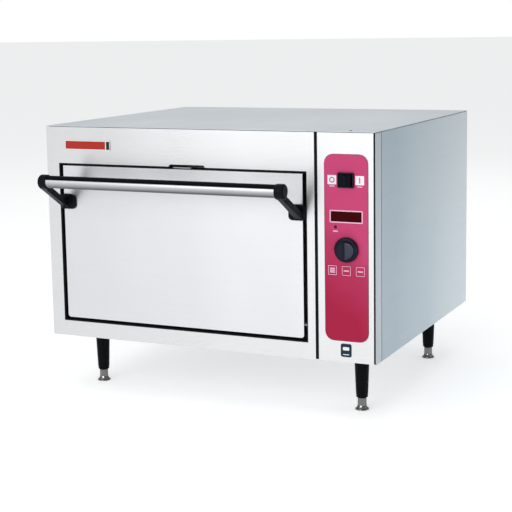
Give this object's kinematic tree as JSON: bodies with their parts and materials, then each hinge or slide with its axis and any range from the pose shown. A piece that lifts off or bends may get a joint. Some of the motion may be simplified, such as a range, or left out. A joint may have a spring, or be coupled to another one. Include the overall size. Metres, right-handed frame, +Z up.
{
  "type": "countertop deck oven",
  "caption": "Stainless countertop oven with a drop-down front door, full-width handle, decks inside, a digital control panel beside the door and levelling legs.",
  "frame": {"origin": "centre of the object's bounding box on the plan, at the level that the feet stand on", "axes": "+Z up, -Y out of the front towards the user, +X to the user's right as they face the front"},
  "size_m": [0.698, 0.7075, 0.541],
  "materials": {
    "steel_front": "brushed stainless, bright",
    "steel_side": "brushed stainless, cooler and duller",
    "steel_plain": "mill-finish sheet",
    "chamber_steel": "heat-toned stainless",
    "polished_steel": "polished",
    "black_moulding": "fine-grained satin black",
    "black_rubber": "matt black",
    "overlay_film": "satin printed film",
    "display_glass": "smooth dark window",
    "deck_stone": "fired, matt and slightly grainy",
    "insulation_wool": "matt mineral wool",
    "element_sheath": "dark heat-stained sheath",
    "circuit_board": "solder-masked board",
    "pale_plastic": "matt",
    "spring_steel": "bright drawn wire",
    "label_red": "smooth blank plate",
    "label_navy": "smooth blank label"
  },
  "bodies": {
    "oven_body": {"back_panel": "steel_side", "base_plate": "steel_plain", "compartment_divider": "steel_plain", "control_board": "circuit_board", "control_overlay": "overlay_film", "control_panel": "steel_front", "control_transformer": "element_sheath", "cord_gland": "black_moulding", "deck_rack_left": "chamber_steel", "deck_rack_right": "chamber_steel", "dial_encoder": "pale_plastic", "display_module": "display_glass", "door_gasket": "black_rubber", "door_spring_left": "spring_steel", "door_spring_right": "spring_steel", "fan_frame": "black_moulding", "front_frame": "steel_front", "heater_contactor": "pale_plastic", "hinge_bush_left": "spring_steel", "hinge_bush_right": "spring_steel", "indicator_lamp": "black_moulding", "insulation_jacket": "insulation_wool", "latch_catch": "spring_steel", "left_side_panel": "steel_side", "leg_sleeve_front_left": "black_moulding", "leg_sleeve_front_right": "black_moulding", "leg_sleeve_rear_left": "black_moulding", "leg_sleeve_rear_right": "black_moulding", "lower_deck_stone": "deck_stone", "lower_element": "element_sheath", "nameplate": "label_red", "opening_seal": "black_rubber", "oven_chamber": "chamber_steel", "rating_label": "label_navy", "right_corner_post": "steel_side", "right_side_panel": "steel_side", "switch_housing": "black_moulding", "temperature_probe": "polished_steel", "top_panel": "steel_front", "upper_deck_stone": "deck_stone", "upper_element": "element_sheath"},
    "door": {"door_outer_skin": "steel_front", "door_inner_liner": "chamber_steel", "door_insulation": "insulation_wool", "hinge_pin_left": "polished_steel", "hinge_pin_right": "polished_steel", "handle_bar": "polished_steel", "handle_grip": "black_moulding", "handle_bracket_left": "black_moulding", "handle_bracket_right": "black_moulding"},
    "power_rocker": {"switch_rocker": "black_moulding"},
    "dial": {"control_knob": "black_moulding"},
    "fan": {"fan_rotor": "black_moulding"},
    "key_1": {"key_1": "overlay_film"},
    "key_2": {"key_2": "overlay_film"},
    "key_3": {"key_3": "overlay_film"},
    "foot_front_left": {"levelling_foot_front_left": "polished_steel"},
    "foot_front_right": {"levelling_foot_front_right": "polished_steel"},
    "foot_rear_left": {"levelling_foot_rear_left": "polished_steel"},
    "foot_rear_right": {"levelling_foot_rear_right": "polished_steel"}
  },
  "joints": [
    {"name": "door_hinge", "type": "hinge", "parent": "oven_body", "child": "door", "pos_m": [-0.05325, -0.24825, 0.176], "axis": [1, 0, 0], "range_deg": [0, 90]},
    {"name": "power_rocker_tilt", "type": "hinge", "parent": "oven_body", "child": "power_rocker", "pos_m": [0.2922, -0.25925, 0.4532], "axis": [0, 0, 1], "range_deg": [0, 18]},
    {"name": "dial_turn", "type": "hinge", "parent": "oven_body", "child": "dial", "pos_m": [0.293, -0.26145, 0.3255], "axis": [0, 1, 0], "continuous": true},
    {"name": "fan_spin", "type": "hinge", "parent": "oven_body", "child": "fan", "pos_m": [0.287, 0.31545, 0.414], "axis": [0, 1, 0], "continuous": true},
    {"name": "key_1_press", "type": "slide", "parent": "oven_body", "child": "key_1", "axis": [0, 1, 0], "range_m": [0, 0.0005], "stiffness_N_per_m": 2000},
    {"name": "key_2_press", "type": "slide", "parent": "oven_body", "child": "key_2", "axis": [0, 1, 0], "range_m": [0, 0.0005], "stiffness_N_per_m": 2000},
    {"name": "key_3_press", "type": "slide", "parent": "oven_body", "child": "key_3", "axis": [0, 1, 0], "range_m": [0, 0.0005], "stiffness_N_per_m": 2000},
    {"name": "foot_front_left_height", "type": "slide", "parent": "oven_body", "child": "foot_front_left", "axis": [0, 0, 1], "range_m": [-0.022, 0]},
    {"name": "foot_front_right_height", "type": "slide", "parent": "oven_body", "child": "foot_front_right", "axis": [0, 0, 1], "range_m": [-0.022, 0]},
    {"name": "foot_rear_left_height", "type": "slide", "parent": "oven_body", "child": "foot_rear_left", "axis": [0, 0, 1], "range_m": [-0.022, 0]},
    {"name": "foot_rear_right_height", "type": "slide", "parent": "oven_body", "child": "foot_rear_right", "axis": [0, 0, 1], "range_m": [-0.022, 0]}
  ]
}
